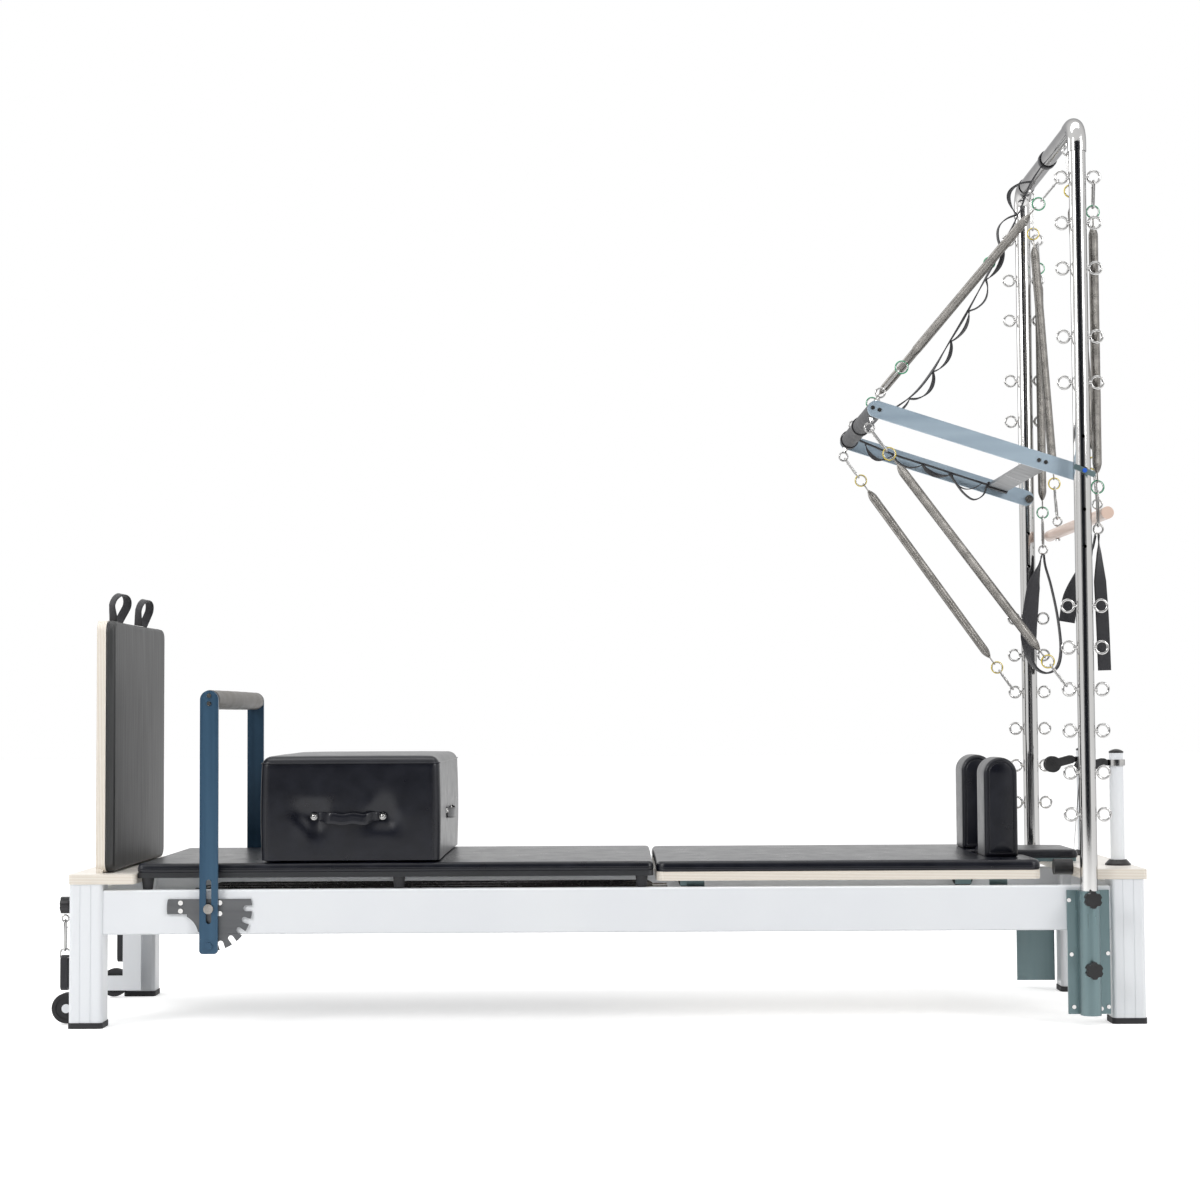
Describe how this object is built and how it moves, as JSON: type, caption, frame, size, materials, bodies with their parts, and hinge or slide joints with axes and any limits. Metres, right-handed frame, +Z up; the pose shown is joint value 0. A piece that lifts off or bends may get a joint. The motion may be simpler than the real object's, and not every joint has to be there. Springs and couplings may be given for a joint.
{
  "type": "pilates_tower_unit",
  "caption": "Pilates reformer frame with a mat conversion, box, jump board, footbar and a steel tower with springs, push-through bar and roll-down bar.",
  "frame": {"origin": "on the floor, under the middle of the whole unit", "axes": "+X from the foot end to the tower, -Y the near side, +Z up"},
  "size_m": [2.46, 0.768, 2.044],
  "materials": {
    "white_paint": "satin",
    "rubber_black": "matte",
    "birch": "clear lacquer",
    "wrapped_ply": "vinyl wrapped",
    "dark_plate": "satin",
    "steel": "polished",
    "grey_metal": "anodised",
    "black_plastic": "moulded",
    "white_plastic": "moulded",
    "webbing": "woven",
    "spring_steel": "dark nickel",
    "upholstery": "smooth",
    "blue_steel": "metallic",
    "pale_steel": "metallic",
    "grip_foam": "foam sleeve",
    "maple": "clear lacquer"
  },
  "bodies": {
    "frame": {"side_rails": "white_paint", "legs": "white_paint", "foot_caps": "rubber_black", "cross_members": "white_paint", "end_cap_foot": "birch", "end_cap_head": "birch", "footbar_plates": "dark_plate", "frame_screws": "steel", "tower_brackets": "grey_metal", "tower_uprights": "steel", "tower_elbows": "steel", "tower_cross_tube": "steel", "tower_eyebolts": "steel", "tower_clips": "steel", "riser_posts": "white_paint", "riser_fittings": "black_plastic", "transport_brackets": "white_paint", "foot_end_hooks": "steel", "foot_end_straps": "webbing", "carriage_springs": "spring_steel", "spring_bar": "grey_metal", "ptb_springs": "spring_steel", "safety_strap": "webbing"},
    "carriage": {"carriage_platform": "birch", "carriage_pad": "upholstery", "wheel_axles": "grey_metal"},
    "wheels_foot": {"wheel_set_foot": "black_plastic"},
    "wheels_head": {"wheel_set_head": "black_plastic"},
    "rest_near": {"shoulder_rest_near": "upholstery"},
    "rest_far": {"shoulder_rest_far": "upholstery"},
    "head_board": {"headrest": "upholstery"},
    "mat": {"mat_board": "wrapped_ply", "mat_pad": "upholstery", "mat_feet": "rubber_black"},
    "box": {"exercise_box": "upholstery", "box_handles": "webbing"},
    "jump_board": {"jump_board_panel": "birch", "jump_board_pad": "upholstery", "jump_board_loops": "webbing"},
    "footbar_hub": {"footbar_pivots": "steel"},
    "footbar": {"footbar_arms": "blue_steel", "footbar_tube": "steel", "footbar_pad": "grip_foam"},
    "transport": {"transport_wheels": "rubber_black"},
    "ptb": {"ptb_arms": "pale_steel", "ptb_tube": "steel", "ptb_pad": "grip_foam", "ptb_brace": "dark_plate", "ptb_clips": "steel"},
    "latch": {"ptb_latch": "grey_metal"},
    "knobs_upper": {"star_knobs_upper": "black_plastic"},
    "knobs_lower": {"star_knobs_lower": "black_plastic"},
    "knob_near": {"lock_knob_near": "black_plastic"},
    "knob_far": {"lock_knob_far": "black_plastic"},
    "pulleys": {"pulley_blocks": "black_plastic"},
    "sheaves": {"pulley_sheaves": "white_plastic"},
    "leg_near": {"leg_spring_near": "spring_steel"},
    "leg_far": {"leg_spring_far": "spring_steel"},
    "roll_down": {"roll_down_bar": "maple", "roll_down_springs": "spring_steel"}
  },
  "joints": [
    {"name": "carriage_slide", "type": "slide", "parent": "frame", "child": "carriage", "axis": [1, 0, 0], "range_m": [0, 0.045], "deforming": ["carriage_springs"]},
    {"name": "track_wheels_foot", "type": "hinge", "parent": "carriage", "child": "wheels_foot", "pos_m": [0.226, 0, 0.281], "axis": [0, 1, 0], "range_deg": [-10, 120]},
    {"name": "track_wheels_head", "type": "hinge", "parent": "carriage", "child": "wheels_head", "pos_m": [0.909, 0, 0.281], "axis": [0, 1, 0], "range_deg": [-10, 120]},
    {"name": "shoulder_rest_near_lift", "type": "slide", "parent": "carriage", "child": "rest_near", "axis": [0, 0, 1], "range_m": [0, 0.08]},
    {"name": "shoulder_rest_far_lift", "type": "slide", "parent": "carriage", "child": "rest_far", "axis": [0, 0, 1], "range_m": [0, 0.08]},
    {"name": "headrest_tilt", "type": "hinge", "parent": "carriage", "child": "head_board", "pos_m": [0.916, 0, 0.346], "axis": [0, -1, 0], "range_deg": [0, 25]},
    {"name": "mat_lift", "type": "slide", "parent": "frame", "child": "mat", "axis": [0, 0, 1], "range_m": [0, 0.3]},
    {"name": "box_lift", "type": "slide", "parent": "mat", "child": "box", "axis": [0, 0, 1], "range_m": [0, 0.5]},
    {"name": "jump_board_lift", "type": "slide", "parent": "frame", "child": "jump_board", "axis": [0, 0, 1], "range_m": [0, 0.4]},
    {"name": "footbar_swing", "type": "hinge", "parent": "frame", "child": "footbar_hub", "pos_m": [-0.862, 0, 0.265], "axis": [0, 1, 0], "range_deg": [-18, 0]},
    {"name": "footbar_latch", "type": "slide", "parent": "footbar_hub", "child": "footbar", "axis": [0, 0, 1], "range_m": [-0.012, 0], "stiffness_N_per_m": 2000, "springref_m": 0.05},
    {"name": "transport_wheel_spin", "type": "hinge", "parent": "frame", "child": "transport", "pos_m": [-1.196, 0, 0.037], "axis": [0, 1, 0], "continuous": true},
    {"name": "ptb_swing", "type": "hinge", "parent": "frame", "child": "ptb", "pos_m": [1.0965, 0, 1.23], "axis": [0, 1, 0], "range_deg": [-35, 35], "stiffness_Nm_per_rad": 60, "springref_deg": 21.89, "deforming": ["ptb_springs", "safety_strap"]},
    {"name": "ptb_latch_turn", "type": "hinge", "parent": "ptb", "child": "latch", "pos_m": [1.0965, -0.363, 1.23], "axis": [0, 1, 0], "range_deg": [-60, 60]},
    {"name": "star_knobs_upper_turn", "type": "hinge", "parent": "frame", "child": "knobs_upper", "pos_m": [1.0965, 0, 0.279], "axis": [0, 1, 0], "continuous": true},
    {"name": "star_knobs_lower_turn", "type": "hinge", "parent": "frame", "child": "knobs_lower", "pos_m": [1.0965, 0, 0.124], "axis": [0, 1, 0], "continuous": true},
    {"name": "lock_knob_near_turn", "type": "hinge", "parent": "frame", "child": "knob_near", "pos_m": [-1.19, -0.287, 0.272], "axis": [1, 0, 0], "continuous": true},
    {"name": "lock_knob_far_turn", "type": "hinge", "parent": "frame", "child": "knob_far", "pos_m": [-1.19, 0.287, 0.272], "axis": [1, 0, 0], "continuous": true},
    {"name": "pulley_swing", "type": "hinge", "parent": "frame", "child": "pulleys", "pos_m": [1.165, 0, 0.576], "axis": [0, 1, 0], "range_deg": [-45, 30]},
    {"name": "sheave_spin", "type": "hinge", "parent": "pulleys", "child": "sheaves", "pos_m": [1.12057, 0, 0.56409], "axis": [0, 1, 0], "continuous": true},
    {"name": "leg_spring_near_swing", "type": "hinge", "parent": "frame", "child": "leg_near", "pos_m": [1.1335, -0.337, 1.897], "axis": [1, 0, 0], "range_deg": [0, 6]},
    {"name": "leg_spring_far_swing", "type": "hinge", "parent": "frame", "child": "leg_far", "pos_m": [1.1335, 0.337, 1.897], "axis": [1, 0, 0], "range_deg": [-6, 0]},
    {"name": "roll_down_swing", "type": "hinge", "parent": "frame", "child": "roll_down", "pos_m": [1.0965, 0, 1.985], "axis": [0, -1, 0], "range_deg": [0, 25]}
  ],
  "couplings": [
    {"joint": "track_wheels_foot", "follows": "carriage_slide", "rad_per_m": 40.486},
    {"joint": "track_wheels_head", "follows": "carriage_slide", "rad_per_m": 40.486}
  ]
}
